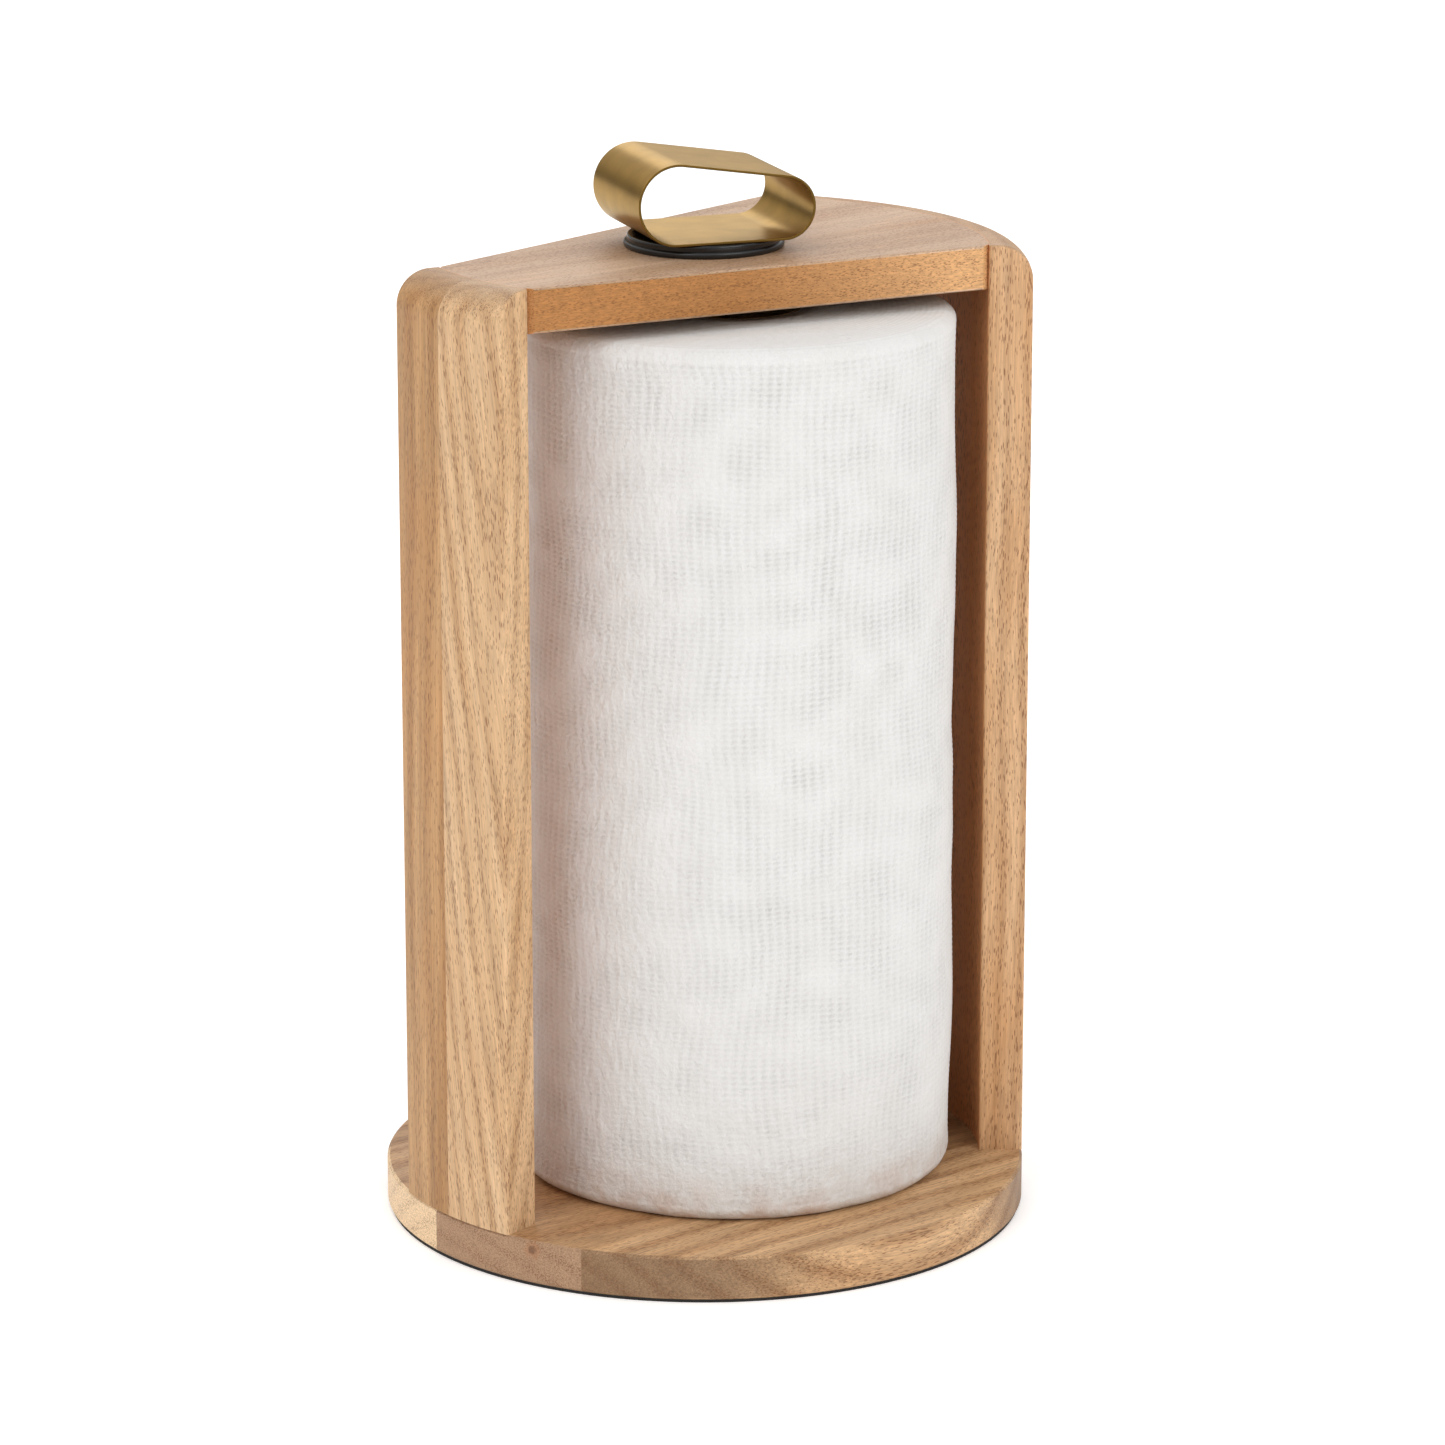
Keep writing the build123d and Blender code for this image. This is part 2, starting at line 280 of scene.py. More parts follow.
    if knot:  # a pin knot, a dark eye with an orange rim
        centre, radius = knot
        off = add_node(tree, "VectorMath", {0: place, 1: centre}, give=1, operation="DISTANCE")
        rough_edge = add_node(tree, "TexNoise", {"Vector": place, "Scale": 1 / radius, "Detail": 3.0})
        rough_edge = add_node(tree, "Math", {0: rough_edge, 1: radius * 2.2}, operation="MULTIPLY")
        off = add_node(tree, "Math", {0: off, 1: rough_edge}, operation="SUBTRACT")
        rim = add_node(tree, "MapRange", {"Value": off, "From Min": 0.0, "From Max": radius * 0.8,
                                          "To Min": 0.35, "To Max": 0.0})
        eye = add_node(tree, "MapRange", {"Value": off, "From Min": radius * -0.6, "From Max": radius * -0.1,
                                          "To Min": 0.6, "To Max": 0.0})
        ground = add_node(tree, "Mix", {0: rim, 6: ground, 7: linear("#A5683C")}, **mix_colour)
        ground = add_node(tree, "Mix", {0: eye, 6: ground, 7: linear("#5A3826")}, **mix_colour)

    relief = add_node(tree, "Math", {0: fibres, 1: 0.2, 2: pores}, operation="MULTIPLY_ADD")
    relief = add_node(tree, "Bump", {"Height": relief, "Strength": 0.25, "Distance": -PORE_SUNK},
                      give="Normal")
    sheen = add_node(tree, "MapRange", {"Value": fibres, "From Min": 0.3, "From Max": 0.7,
                                        "To Min": 0.46, "To Max": 0.62})
    surface_with(tree, {
        "Base Color": ground,
        "Roughness": sheen,
        "IOR": 1.45,
        "Specular IOR Level": 0.4,
        "Normal": relief,
    })
    return material


# %% [markdown]
# ## Wood for each board
#
# The uprights are glued up from narrow staves, standing grain, and picked light. The back stave
# of the narrow upright is straight and a little darker; the front one leans and shows figure.
# The base planks and the top board lie with their grain along X.

# %% Wood for each board
INSIDE_BOUNCE = 0.6  # share of painted orange bounce light on the uprights' hollow side
BASE_RADIUS = cad_high.x
KNOT_TURN, KNOT_UP, KNOT_RADIUS = radians(-160), 12 * MM, 1.8 * MM

paint(acacia("acacia_straight_tan", (0, -0.02, 1), "#C69C6D", "#A4784A", 1, pith=(60, -30),
             ring_gap=5.0, ring_depth=0.3, warm=0.4, inside=INSIDE_BOUNCE), "narrow_stave_1")
paint(acacia("acacia_leaning_pale", (0, 0.14, 1), "#DAB78F", "#C79E72", 2, pith=(110, 60),
             ring_gap=7.0, ring_depth=0.3, warm=0.15, inside=INSIDE_BOUNCE), "narrow_stave_2")

wide_staves = {  # grain direction, light tone, dark tone
    "wide_stave_1": ((-0.03, -0.05, 1), "#D8B087", "#C2966B"),
    "wide_stave_2": ((0.02, 0.03, 1), "#CFA070", "#B88653"),
    "wide_stave_3": ((0.0, -0.04, 1), "#D8AE80", "#C49565"),
    "wide_stave_4": ((0.01, 0.05, 1), "#CC9B69", "#B58250"),
    "wide_stave_5": ((0.0, 0.02, 1), "#D6AA7C", "#BE8E5C"),
}
for number, (name, (grain, light, dark)) in enumerate(wide_staves.items(), start=3):
    finish = acacia(f"acacia_upright_{number}", grain, light, dark, number, pith=(20 * number, -50),
                    inside=INSIDE_BOUNCE)
    paint(finish, name)

knot_place = Vector((BASE_RADIUS * cos(KNOT_TURN), BASE_RADIUS * sin(KNOT_TURN), KNOT_UP))
planks = {  # grain direction, light tone, dark tone, end-grain tone, pin knot
    "base_plank_1": ((1, 0.03, 0), "#D2AB80", "#B08A62", "#70563F", None),
    "base_plank_2": ((1, -0.05, 0.02), "#C29A70", "#A47E58", "#A08066", (knot_place, KNOT_RADIUS)),
    "base_plank_3": ((1, 0.04, 0), "#C8A076", "#AB845C", "#F2D4AC", None),
    "base_plank_4": ((1, -0.02, 0), "#BC9468", "#9E7750", "#A38360", None),
}
for number, (name, (grain, light, dark, end_tone, knot)) in enumerate(planks.items(), start=11):
    finish = acacia(f"acacia_base_{number}", grain, light, dark, number, pith=(-90, 25 * (number - 12)),
                    ring_gap=8.0, ring_depth=0.45, streak=0.4, pore_size=(0.28, 0.42), warm=0.2,
                    end_tone=end_tone, end_share=0.75, end_from=(0.2, 0.7), knot=knot)
    paint(finish, name)

SAWN_EDGE = (-0.21, -0.98, 0)  # the board's long edges, and their mirror images
CHAMFERS = ((-0.69, -0.72), (0.33, -0.94))  # the ways the chamfers beside the uprights look
# painted shade: the chamfers in the narrow grooves beside the uprights are toned a deep orange, standing in
# for the shade and warm bounce there
groove_shade_faces = [
    ((x, y * side, 0), "#B0702C", "#D09858", 0.75, 0.97, 0.99) for x, y in CHAMFERS for side in (1, -1)
]
edge_faces = [
    ((SAWN_EDGE[0], SAWN_EDGE[1] * side, 0), "#9C805F", "#E0BEA0", 0.7, 0.8, 0.95) for side in (1, -1)
]
paint(acacia("acacia_top_board", (1, 0.02, 0), "#C6A78B", "#B69577", 21, pith=(-260, 70), ring_gap=6.0,
             ring_depth=0.3, pore_run=1.8, pore_depth=0.6, pore_size=(0.3, 0.4), warm=0.2,
             end_tone="#B07A45", faces=edge_faces + groove_shade_faces), "top_board")
print("wood finishes:", sum(material.name.startswith("acacia") for material in bpy.data.materials))

# %% [markdown]
# ## Satin brass
#
# The loop is a strip of brass bent round and welded shut, brushed along its length and lacquered.
# Brass keeps a metal's full reflection and takes its colour from it, and the lacquer keeps the
# glancing light a little yellow too. Brushing leaves hairlines that run round the loop, so the
# pattern is long that way and fine across the strip.

# %% Satin brass
LOOP_TURN = radians(-19.3)
HAIRLINE = 0.18 * MM  # real hairlines are about 0.05 mm
HAIRLINE_RUN = 40 * MM
TARNISH = 9 * MM  # clouds in the lacquer
HAIRLINE_SUNK = 0.03 * MM


def brushed_brass(name, tone, deep, turn, sawn=0.0):
    """Brass with hairlines square to the loop's axis; sawn is how far the colour of its cut rims is
    darkened.
    """
    material, tree = new_finish(name)
    place = add_node(tree, "TexCoord", give="Object")
    place = add_node(tree, "Mapping", {"Vector": place, "Rotation": (0, 0, -turn)})
    lines = add_node(tree, "Mapping", {
        "Vector": place,
        "Scale": (1 / HAIRLINE_RUN, 1 / HAIRLINE, 1 / HAIRLINE_RUN),
    })
    lines = add_node(tree, "TexNoise", {"Vector": lines, "Scale": 1.0, "Detail": 2.0})
    cloud = add_node(tree, "TexNoise", {"Vector": place, "Scale": 1 / TARNISH, "Detail": 3.0})
    share = add_node(tree, "Math", {0: lines, 1: 0.25, 2: cloud}, operation="MULTIPLY_ADD")
    share = add_node(tree, "MapRange", {"Value": share, "From Min": 0.3, "From Max": 0.95})
    colour = add_node(tree, "Mix", {0: share, 6: linear(deep), 7: linear(tone)}, **mix_colour)

    facing = add_node(tree, "TexCoord", give="Normal")
    rim = add_node(tree, "VectorMath", {0: facing, 1: (sin(turn), -cos(turn), 0)}, give=1,
                   operation="DOT_PRODUCT")
    rim = add_node(tree, "Math", {0: rim}, operation="ABSOLUTE")
    rim = add_node(tree, "MapRange", {"Value": rim, "From Min": 0.6, "From Max": 0.95, "To Max": sawn})
    colour = add_node(tree, "Mix", {0: rim, 6: colour, 7: linear("#5C4722")}, **mix_colour)

    gloss = add_node(tree, "MapRange", {"Value": lines, "From Min": 0.3, "From Max": 0.7,
                                        "To Min": 0.29, "To Max": 0.36})
    relief = add_node(tree, "Bump", {"Height": lines, "Strength": 0.06, "Distance": HAIRLINE_SUNK},
                      give="Normal")
    surface_with(tree, {
        "Base Color": colour,
        "Metallic": 1.0,
        "Specular Tint": linear("#FFF6E1"),
        "Roughness": gloss,
        "Normal": relief,
    })
    return material


brass_tones = ("#A47E3C", "#84642C")
paint(brushed_brass("satin_brass_strip", *brass_tones, LOOP_TURN, sawn=0.85), "handle_loop")
paint(brushed_brass("satin_brass_tube", *brass_tones, 0.0), "rod_tube")
print("brass in linear light:", [round(share, 3) for share in linear(brass_tones[0])[:3]])

# %% [markdown]
# ## Black parts, steel, dowel and core
#
# The disc under the loop is enamelled steel, glossy black; the ring below it is moulded rubber
# and a little duller; the pad under the base is a stamped sheet of foam rubber. The screws are
# zinc-plated, the plug in the rod is zinc too, and the dowels are beech. These are plain
# materials, so one recipe with two scales of mottling and a fine relief serves them all.

# %% Plain finishes
BROAD = 0.06  # the broad mottling's scale against the fine one's


def mottled(name, tone, other, grit, roughness, spread, relief_depth, metallic=0.0):
    """Tone wanders to other over a few grits; roughness varies by spread; relief in metres."""
    material, tree = new_finish(name)
    place = add_node(tree, "TexCoord", give="Object")
    fine = add_node(tree, "TexNoise", {"Vector": place, "Scale": 1 / grit, "Detail": 3.0})
    broad = add_node(tree, "TexNoise", {"Vector": place, "Scale": BROAD / grit, "Detail": 2.0})
    share = add_node(tree, "Math", {0: fine, 1: 0.4, 2: broad}, operation="MULTIPLY_ADD")
    share = add_node(tree, "MapRange", {"Value": share, "From Min": 0.45, "From Max": 0.95})
    colour = add_node(tree, "Mix", {0: share, 6: linear(tone), 7: linear(other)}, **mix_colour)
    gloss = add_node(tree, "MapRange", {"Value": broad, "From Min": 0.3, "From Max": 0.7,
                                        "To Min": roughness - spread, "To Max": roughness + spread})
    relief = add_node(tree, "Bump", {"Height": fine, "Strength": 0.3, "Distance": relief_depth},
                      give="Normal")
    surface_with(tree, {
        "Base Color": colour,
        "Metallic": metallic,
        "Roughness": gloss,
        "Normal": relief,
    })
    return material


paint(mottled("black_enamel", "#08080A", "#101012", 0.5 * MM, 0.12, 0.03, 0.01 * MM), "cap_disc")
paint(mottled("moulded_rubber", "#0C0C0D", "#151515", 0.4 * MM, 0.3, 0.05, 0.03 * MM), "rest_ring")
paint(mottled("foam_rubber_sheet", "#141312", "#221F1D", 0.6 * MM, 0.8, 0.08, 0.08 * MM), "base_pad")
paint(mottled("black_nylon", "#17171A", "#202022", 0.4 * MM, 0.45, 0.06, 0.02 * MM), "rod_foot")
paint(mottled("zinc_plated_steel", "#B9BCC0", "#9CA0A6", 0.5 * MM, 0.33, 0.08, 0.02 * MM, metallic=1.0),
      "narrow_upright_screws", "wide_upright_screws", "rod_plug", "handle_stud")
paint(mottled("turned_beech", "#D9B48A", "#C29867", 0.8 * MM, 0.6, 0.06, 0.05 * MM),
      "narrow_end_dowels", "wide_end_dowels")
print("finishes so far:", len(bpy.data.materials))

# %% [markdown]
# ## Cardboard core
#
# The core is grey board wound in a spiral, so a seam climbs round it. The seam is found from
# two things that every point knows: its height and its direction from the core's axis.

# %% Cardboard core
core_low, core_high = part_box("cardboard_core")
roll_axis = Vector(((core_low.x + core_high.x) / 2, (core_low.y + core_high.y) / 2, 0))
SEAM_CLIMB = 62 * MM  # height that the seam gains in one turn
SEAM_EDGES = (0.97, 0.985)  # where in each turn the seam starts and is full
PULP = 1.2 * MM  # clumps of grey pulp
PULP_RAISED = 0.08 * MM


def around_axis(tree, place, axis):
    """Sockets for a point's offset from an upright axis, and for its turn round it, 0 to 1."""
    offset = add_node(tree, "VectorMath", {0: place, 1: axis}, operation="SUBTRACT")
    parts = add_node(tree, "SeparateXYZ", {"Vector": offset}, give=None)
    angle = add_node(tree, "Math", {0: parts["Y"], 1: parts["X"]}, operation="ARCTAN2")
    return parts, add_node(tree, "Math", {0: angle, 1: 1 / tau}, operation="MULTIPLY")


core_board, tree = new_finish("grey_core_board")
place = add_node(tree, "TexCoord", give="Object")
offset, turn_share = around_axis(tree, place, roll_axis)
climb = add_node(tree, "Math", {0: offset["Z"], 1: 1 / SEAM_CLIMB, 2: turn_share}, operation="MULTIPLY_ADD")
climb = add_node(tree, "Math", {0: climb}, operation="FRACT")
seam = add_node(tree, "MapRange", {"Value": climb, "From Min": SEAM_EDGES[0], "From Max": SEAM_EDGES[1]})
pulp = add_node(tree, "TexNoise", {"Vector": place, "Scale": 1 / PULP, "Detail": 4.0, "Roughness": 0.7})
board_tone = add_node(tree, "Mix", {0: pulp, 6: linear("#A2886A"), 7: linear("#BDA687")}, **mix_colour)
board_tone = add_node(tree, "Mix", {0: seam, 6: board_tone, 7: linear("#7D6650")}, **mix_colour)
pulp_relief = add_node(tree, "Bump", {"Height": pulp, "Strength": 0.4, "Distance": PULP_RAISED},
                       give="Normal")
surface_with(tree, {"Base Color": board_tone, "Roughness": 0.85, "Normal": pulp_relief})
paint(core_board, "cardboard_core")
print("roll axis in mm:", [round(part / MM, 2) for part in roll_axis])

# %% [markdown]
# ## The paper roll
#
# Kitchen paper is pressed between patterned rollers, so the sheet is a waffle: thin raised
# ridges round small sunk cells. The wound roll is soft, so its rows wander and its rim is
# rounded and a little uneven. The cells are real relief here. A profile of the roll's section is
# spun into a ring with two points to a cell each way, and every second point is then sunk.

# %% Paper roll: the turned blank
ROLL_ROUND = 4.5 * MM
CELLS_ROUND = 146  # 3.0 mm each
CELLS_UP = 154  # 1.75 mm each
RINGS_ON_END = 8
ROUND_STEPS = 5  # facets on each rounded rim
NEARLY = 0.001 * MM  # closer than this counts as the same place
SAME_POINT = 0.01 * MM

roll_low, roll_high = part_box("paper_roll")
roll_radius = (roll_high.x - roll_low.x) / 2
bore_radius = (core_high.x - core_low.x) / 2

blank = bmesh.new()
section = [
    (bore_radius, roll_low.z),
    (roll_radius, roll_low.z),
    (roll_radius, roll_high.z),
    (bore_radius, roll_high.z),
]
corners = [blank.verts.new((radius, 0, height)) for radius, height in section]
for corner, following in zip(corners, corners[1:] + corners[:1]):
    blank.edges.new((corner, following))
bmesh.ops.bevel(blank, geom=corners[1:3], offset=ROLL_ROUND, offset_type="OFFSET", segments=ROUND_STEPS,
                profile=0.5, affect="VERTICES", material=-1)
side_edges = [edge for edge in blank.edges if min(end.co.x for end in edge.verts) > roll_radius - NEARLY]
bmesh.ops.subdivide_edges(blank, edges=side_edges, cuts=2 * CELLS_UP - 1)
level_edges = [edge for edge in blank.edges if abs(edge.verts[0].co.z - edge.verts[1].co.z) < NEARLY]
bmesh.ops.subdivide_edges(blank, edges=level_edges, cuts=RINGS_ON_END - 1)
bmesh.ops.spin(blank, geom=blank.verts[:] + blank.edges[:], cent=(0, 0, 0), axis=(0, 0, 1),
               angle=tau, steps=2 * CELLS_ROUND, use_merge=True, use_duplicate=False)
bmesh.ops.remove_doubles(blank, verts=blank.verts, dist=SAME_POINT)
bmesh.ops.recalc_face_normals(blank, faces=blank.faces)
print("blank:", len(blank.verts), "points,", len(blank.faces), "faces")

# %% [markdown]
# ## Pressing the waffle into the blank
#
# Every point on the outside belongs to a column and a row of the pattern. Even ones lie on a
# ridge; a point that is odd both ways is the bottom of a cell. Slow noise then lets the rows
# wander and the whole roll swell and dip by about half a millimetre, as wound paper does. Each
# slow noise has its own length and its own start, so no two of them rise and fall together.

# %% Pressing the waffle
CELL_DEPTH = 0.7 * MM
SWELL, SWELL_RUN = 1.0 * MM, 50 * MM
DENT_SHARE, DENT_RUN = 0.4, 18 * MM  # smaller dents in the swell
PRESS_RUN = 11 * MM  # some cells are pressed deeper than others
FLUTTER, FLUTTER_RUN = 0.5 * MM, 12 * MM  # of the rims
ROW_WANDER, SLIDE_RUN, LIFT_RUN = 3.2 * MM, 40 * MM, 48 * MM
FADE_IN, FADE_UP = 8 * MM, 6 * MM  # the relief fades towards the bore and towards the rims
RIM_PRESSED = 0.3  # how deep the rims are pressed, in cell depths


def ease(share):
    """0 to 1 with a soft start and end."""
    share = min(1.0, max(0.0, share))
    return share * share * (3 - 2 * share)


def pressed_in(column, row):
    """How deep this point of the pattern is: a ridge's crossing, a ridge, or a cell's bottom."""
    return (0.0, 0.25, 1.0)[column % 2 + row % 2]


side_foot, side_top = roll_low.z + ROLL_ROUND, roll_high.z - ROLL_ROUND
row_height = (side_top - side_foot) / (2 * CELLS_UP)
emboss = blank.verts.layers.float.new("emboss")
for point in blank.verts:
    radius = hypot(point.co.x, point.co.y)
    angle = atan2(point.co.y, point.co.x)
    column = round(angle / tau * 2 * CELLS_ROUND)
    row = round((point.co.z - side_foot) / row_height)
    here = Vector((cos(angle), sin(angle), 0)) * roll_radius + Vector((0, 0, point.co.z))
    outside = ease((radius - roll_radius + FADE_IN) / FADE_IN)
    inset = min(point.co.z - roll_low.z, roll_high.z - point.co.z)
    on_side = ease((inset - ROLL_ROUND) / FADE_UP)
    sunk = pressed_in(column, row) if inset > ROLL_ROUND * 0.6 else RIM_PRESSED
    sunk *= 0.75 + 0.6 * noise.noise(here / PRESS_RUN + Vector((4, 4, 9)))
    swell = SWELL * noise.noise(here / SWELL_RUN)
    swell += DENT_SHARE * SWELL * noise.noise(here / DENT_RUN + Vector((7, 3, 1)))
    swell += (1 - on_side) * FLUTTER * noise.noise(here / FLUTTER_RUN + Vector((2, 9, 4)))
    slide = on_side * ROW_WANDER * noise.noise(here / SLIDE_RUN + Vector((5, 1, 8)))
    lift = on_side * ROW_WANDER * noise.noise(here / LIFT_RUN + Vector((1, 6, 2)))
    radius += outside * (swell - CELL_DEPTH * sunk)
    angle += slide / roll_radius
    point.co = Vector((radius * cos(angle), radius * sin(angle), point.co.z + lift)) + roll_axis
    point[emboss] = sunk * outside

towel_roll = set_down(blank, "towel_roll")
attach(towel_roll, "roll")
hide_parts("paper_roll")
print("roll:", sum(len(face.vertices) - 2 for face in towel_roll.data.polygons), "triangles")

# %% [markdown]
# ## The loose end of the last sheet
#
# A started roll ends in a perforated edge, and the last sheet springs a little away from the
# roll. It hangs at the open back here. A flat grid is wrapped round the roll's axis. It starts
# just under the roll's skin, lifts more and more towards its end, waves a little, and is
# thickened with a modifier.

# %% Loose end of the sheet
TAIL_START, TAIL_END = radians(84), radians(112)
TAIL_UNDER = 1.0 * MM  # how far below the roll's skin it starts
TAIL_LIFT = 3.6 * MM
TAIL_MARGIN = 2.0 * MM  # from the roll's ends
TAIL_COLUMNS, TAIL_ROWS = 24, 2 * CELLS_UP
TAIL_WAVE, TAIL_WAVE_RUN = 1.2 * MM, 30 * MM
WAVE_STRETCH = 40 * MM  # the waves are read off over this length, a little more than the end has
TAIL_PRESSED = 0.6  # how deep its cells are against the roll's
PERFORATION = 0.9 * MM
PLY = 0.3 * MM

tail = bmesh.new()
bmesh.ops.create_grid(tail, x_segments=TAIL_COLUMNS, y_segments=TAIL_ROWS, size=0.5)
tail_emboss = tail.verts.layers.float.new("emboss")
for point in tail.verts:
    along, up = point.co.x + 0.5, point.co.y + 0.5
    column, row = round(along * TAIL_COLUMNS), round(up * TAIL_ROWS)
    height = roll_low.z + TAIL_MARGIN + up * (roll_high.z - roll_low.z - 2 * TAIL_MARGIN)
    here = Vector((along * WAVE_STRETCH, 0, height))
    sunk = pressed_in(column, row)
    ripple = noise.noise(here / TAIL_WAVE_RUN) * TAIL_WAVE * along
    radius = roll_radius - TAIL_UNDER + (TAIL_UNDER + TAIL_LIFT) * along + ripple
    radius -= CELL_DEPTH * sunk * TAIL_PRESSED
    angle = TAIL_START + (TAIL_END - TAIL_START) * along
    if column == TAIL_COLUMNS:
        angle -= (row % 2) * PERFORATION / roll_radius
    point.co = Vector((radius * cos(angle), radius * sin(angle), height)) + roll_axis
    point[tail_emboss] = sunk
bmesh.ops.recalc_face_normals(tail, faces=tail.faces)
sheet_tail = set_down(tail, "sheet_tail")
thickness = sheet_tail.modifiers.new("ply", "SOLIDIFY")
thickness.thickness = PLY
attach(sheet_tail, "roll")
print("tail:", len(sheet_tail.data.polygons), "faces, lifted by up to", TAIL_LIFT / MM, "mm")

# %% [markdown]
# ## Tissue paper
#
# Two plies of bleached pulp: bright and quite matt, with painted shade that greys the pressed
# cells. On the roll's ends the wound layers show as fine rings, one sheet to a turn, with painted
# shade in the gaps between them. Real layers are about 0.45 mm apart; they are drawn at twice that so they
# show.

# %% Tissue paper
LAYER_GAP = 0.9 * MM
LAYER_UNEVEN = 1.6  # how many layers' room the rings stray
FLUFF, FLUFF_RAISED = 0.5 * MM, 0.14 * MM
PULP_CLOUD = 14 * MM
CRUMPLE, CRUMPLE_RAISED = 3.2 * MM, 1.3 * MM
CRUMPLE_SQUEEZE = 0.75  # a crumple is this much less fine up the roll than round it
BOUNCE_PATCH = 14 * MM
BOUNCE_UP = 16 * MM  # how far up the painted tan tint reaches

tissue, tree = new_finish("embossed_tissue")
place = add_node(tree, "TexCoord", give="Object")
pressed = add_node(tree, "Attribute", give="Fac", attribute_name="emboss")
fluff = add_node(tree, "TexNoise", {"Vector": place, "Scale": 1 / FLUFF, "Detail": 4.0, "Roughness": 0.65})
cloud = add_node(tree, "TexNoise", {"Vector": place, "Scale": 1 / PULP_CLOUD, "Detail": 3.0})
tone = add_node(tree, "Mix", {0: cloud, 6: linear("#DAD8D5"), 7: linear("#E2E1E0")}, **mix_colour)
# painted shade: the pressed cells are drawn greyer the deeper they are sunk
cell_shade_share = add_node(tree, "Math", {0: pressed, 1: 0.4}, operation="MULTIPLY")
tone = add_node(tree, "Mix", {0: cell_shade_share, 6: tone, 7: linear("#BEBBB7")}, **mix_colour)
fluff_tone = add_node(tree, "MapRange", {"Value": fluff, "From Min": 0.3, "From Max": 0.7,
                                         "To Min": 0.96, "To Max": 1.03})
tone = add_node(tree, "VectorMath", {0: tone, "Scale": fluff_tone}, operation="SCALE")

offset, turn_share = around_axis(tree, place, roll_axis)
out = add_node(tree, "CombineXYZ", {"X": offset["X"], "Y": offset["Y"]})
out = add_node(tree, "VectorMath", {0: out}, give=1, operation="LENGTH")
uneven = add_node(tree, "Math", {0: cloud, 1: LAYER_UNEVEN, 2: turn_share}, operation="MULTIPLY_ADD")
layer = add_node(tree, "Math", {0: out, 1: 1 / LAYER_GAP, 2: uneven}, operation="MULTIPLY_ADD")
layer = add_node(tree, "Math", {0: layer, 1: 1.0}, operation="PINGPONG")
facing = add_node(tree, "TexCoord", give="Normal")
level = add_node(tree, "VectorMath", {0: facing, 1: (0, 0, 1)}, give=1, operation="DOT_PRODUCT")
level = add_node(tree, "Math", {0: level}, operation="ABSOLUTE")
level = add_node(tree, "MapRange", {"Value": level, "From Min": 0.7, "From Max": 0.95})
# painted shade: on the roll's ends the gaps between wound layers are drawn darker grey; the same mask also
# sinks them in the relief further down
gap = add_node(tree, "MapRange", {"Value": layer, "From Min": 0.0, "From Max": 0.6,
                                  "To Min": 0.16, "To Max": 0.0})
gap = add_node(tree, "Math", {0: gap, 1: level}, operation="MULTIPLY")
tone = add_node(tree, "Mix", {0: gap, 6: tone, 7: linear("#A9A5A0")}, **mix_colour)

# painted bounce light: towards the foot the paper is tinted tan in patches, standing in for warm light
# bounced up from the wooden base
foot_bounce = add_node(tree, "MapRange", {
    "Value": offset["Z"],
    "From Min": roll_low.z,
    "From Max": roll_low.z + BOUNCE_UP,
    "To Min": 1.0,
    "To Max": 0.0,
})
bounce_patches = add_node(tree, "TexNoise", {"Vector": place, "Scale": 1 / BOUNCE_PATCH, "Detail": 4.0, "Roughness": 0.6})
bounce_patches = add_node(tree, "MapRange", {"Value": bounce_patches, "From Min": 0.45, "From Max": 0.68, "To Max": 0.6})
foot_bounce = add_node(tree, "Math", {0: foot_bounce, 1: bounce_patches}, operation="MULTIPLY")
tone = add_node(tree, "Mix", {0: foot_bounce, 6: tone, 7: linear("#B89074")}, **mix_colour)

# crumples a few millimetres wide run up the roll, under the fluff
crumples = add_node(tree, "Mapping", {
    "Vector": place,
    "Scale": (1 / CRUMPLE, 1 / CRUMPLE, CRUMPLE_SQUEEZE / CRUMPLE),
})
crumples = add_node(tree, "TexNoise", {"Vector": crumples, "Scale": 1.0, "Detail": 3.0, "Roughness": 0.6})
crumple_relief = add_node(tree, "Bump", {"Height": crumples, "Strength": 0.8, "Distance": CRUMPLE_RAISED},
                          give="Normal")
relief = add_node(tree, "Math", {0: gap, 1: -2.0, 2: fluff}, operation="MULTIPLY_ADD")
relief = add_node(tree, "Bump", {"Height": relief, "Strength": 0.45, "Distance": FLUFF_RAISED,
                                 "Normal": crumple_relief}, give="Normal")
surface_with(tree, {
    "Base Color": tone,
    "Roughness": 0.95,
    "Specular IOR Level": 0.2,
    "Sheen Weight": 0.15,
    "Sheen Roughness": 0.6,
    "Normal": relief,
})
for piece in (towel_roll, sheet_tail):
    piece.data.materials.append(tissue)
print("layers that show on an end:", round((roll_radius - bore_radius) / LAYER_GAP))

# %% [markdown]
# ## Floor
#
# The holder stands on a sheet of white acrylic, as on a packshot table. It is matt, so it shows
# no mirror image, and faintly lit from below, so it stays white right up to the base's shadow.
# One square of a grid is all it needs. It is no part of the object, so it goes on the stage.

# %% Floor
FLOOR_REACH = 12  # metres each way

floor_shape = bmesh.new()
bmesh.ops.create_grid(floor_shape, x_segments=1, y_segments=1, size=FLOOR_REACH)
studio_floor = set_down(floor_shape, "studio_floor", smooth=False)

matt_acrylic, tree = new_finish("matt_white_acrylic")
surface_with(tree, {
    "Base Color": linear("#FFFFFF"),
    "Roughness": 0.9,
    "Emission Color": linear("#FFFFFF"),
    "Emission Strength": 0.2,
})
studio_floor.data.materials.append(matt_acrylic)
print("floor:", 2 * FLOOR_REACH, "m across")

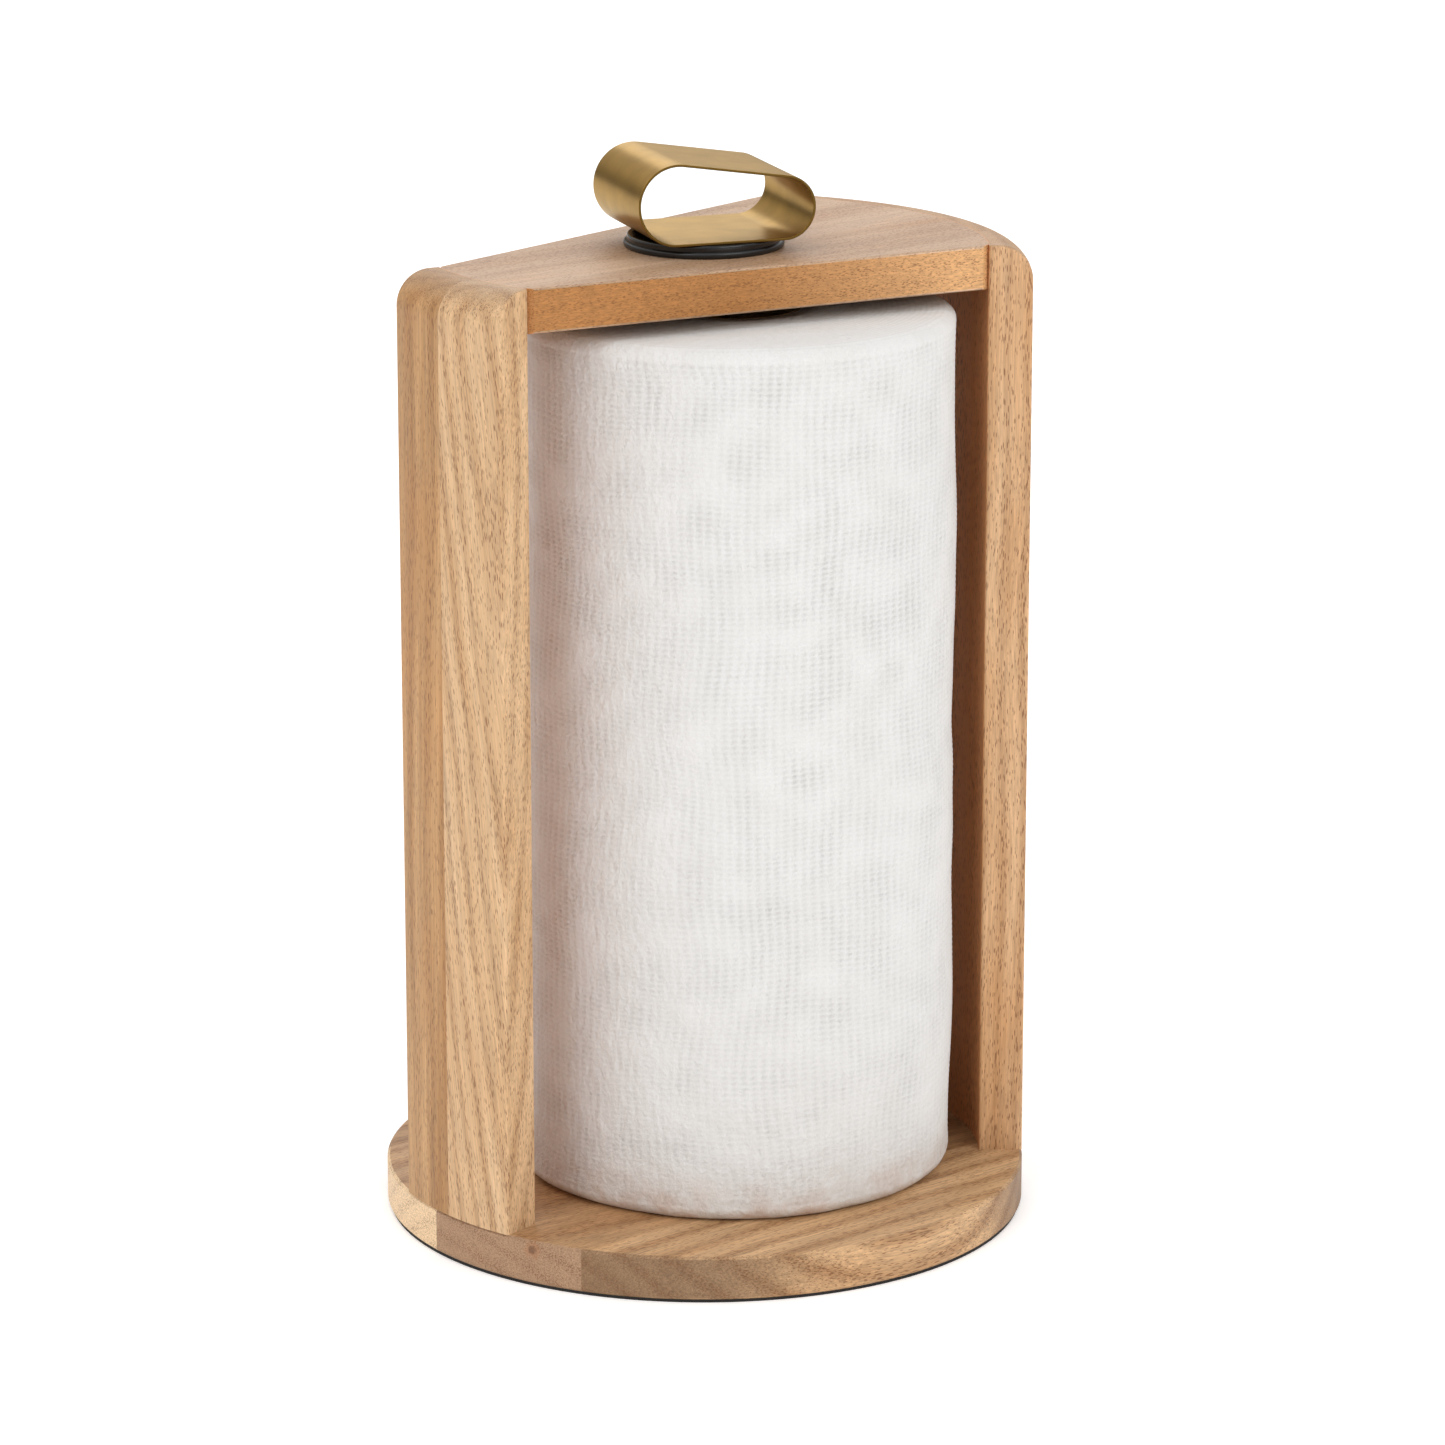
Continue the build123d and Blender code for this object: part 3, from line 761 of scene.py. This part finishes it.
# %% [markdown]
# ## Lights
#
# A product of pale wood and white paper is lit from large soft sources, so nothing has a hard
# shadow. A broad key stands in front, a weaker panel stands on the left, and a faint one hangs
# overhead. One behind glances off the level faces, which lifts the loop's flat top above its
# dark ends. The room's air is bright above and dimmer at the walls: the dim walls are what give
# the brass its dark sides.

# %% Lights
AIR_TOP = 0.32  # how steeply up, as a share of straight up, the air is at its brightest
AIR_DIM, AIR_BRIGHT = 0.12, 0.94

target = (cad_low + cad_high) / 2
lamps = {  # place, size across, power in watts
    "key_panel": ((0.15, -1.9, 1.3), 1.3, 9.5),
    "left_panel": ((-1.75, -0.4, 1.8), 1.4, 8.0),
    "overhead_panel": ((-0.1, 0.3, 2.0), 1.4, 1.5),
    "back_panel": ((1.5, 2.0, 1.5), 1.3, 7.5),
}
for name, (spot, across, watts) in lamps.items():
    lamp = bpy.data.lights.new(name, "AREA")
    lamp.shape = "SQUARE"
    lamp.size = across
    lamp.energy = watts
    lamp_object = bpy.data.objects.new(name, lamp)
    lamp_object.location = spot
    lamp_object.rotation_euler = (target - Vector(spot)).to_track_quat("-Z", "Y").to_euler()
    bpy.context.collection.objects.link(lamp_object)

world = bpy.data.worlds.new("studio_air")
world.use_nodes = True
tree = world.node_tree
direction = add_node(tree, "TexCoord", give="Generated")
up = add_node(tree, "SeparateXYZ", {"Vector": direction}, give=None)["Z"]
brightness = add_node(tree, "MapRange", {
    "Value": up,
    "From Min": 0.0,
    "From Max": AIR_TOP,
    "To Min": AIR_DIM,
    "To Max": AIR_BRIGHT,
}, interpolation_type="SMOOTHSTEP")
air = tree.nodes["Background"].inputs
air["Color"].default_value = linear("#FFFFFF")
tree.links.new(brightness, air["Strength"])
bpy.context.scene.world = world
bpy.context.scene.view_settings.view_transform = "Standard"
print("lamps:", len(lamps), "with", sum(watts for spot, across, watts in lamps.values()), "W in all")

# %% [markdown]
# ## Camera
#
# A long lens from nearly two metres keeps the uprights almost parallel. The camera stands to the
# left of the open front and looks down by fifteen degrees.

# %% Camera
CAMERA_AROUND = radians(-38.46)
CAMERA_DISTANCE = 1888.7 * MM
CAMERA_HEIGHT = 669.1 * MM
CAMERA_DOWN = radians(15.13)
CAMERA_ASIDE = radians(-0.175)
FILM_WIDTH, LENS = 36.0, 152.8  # both in millimetres, as the camera takes them

camera = bpy.data.cameras.new("studio_camera")
camera.sensor_width = FILM_WIDTH
camera.lens = LENS
camera_object = bpy.data.objects.new("studio_camera", camera)
camera_object.location = (
    sin(CAMERA_AROUND) * CAMERA_DISTANCE,
    -cos(CAMERA_AROUND) * CAMERA_DISTANCE,
    CAMERA_HEIGHT,
)
camera_object.rotation_euler = (pi / 2 - CAMERA_DOWN, 0, CAMERA_AROUND + CAMERA_ASIDE)
bpy.context.collection.objects.link(camera_object)
bpy.context.scene.camera = camera_object
print("camera at:", [round(part, 3) for part in camera_object.location])
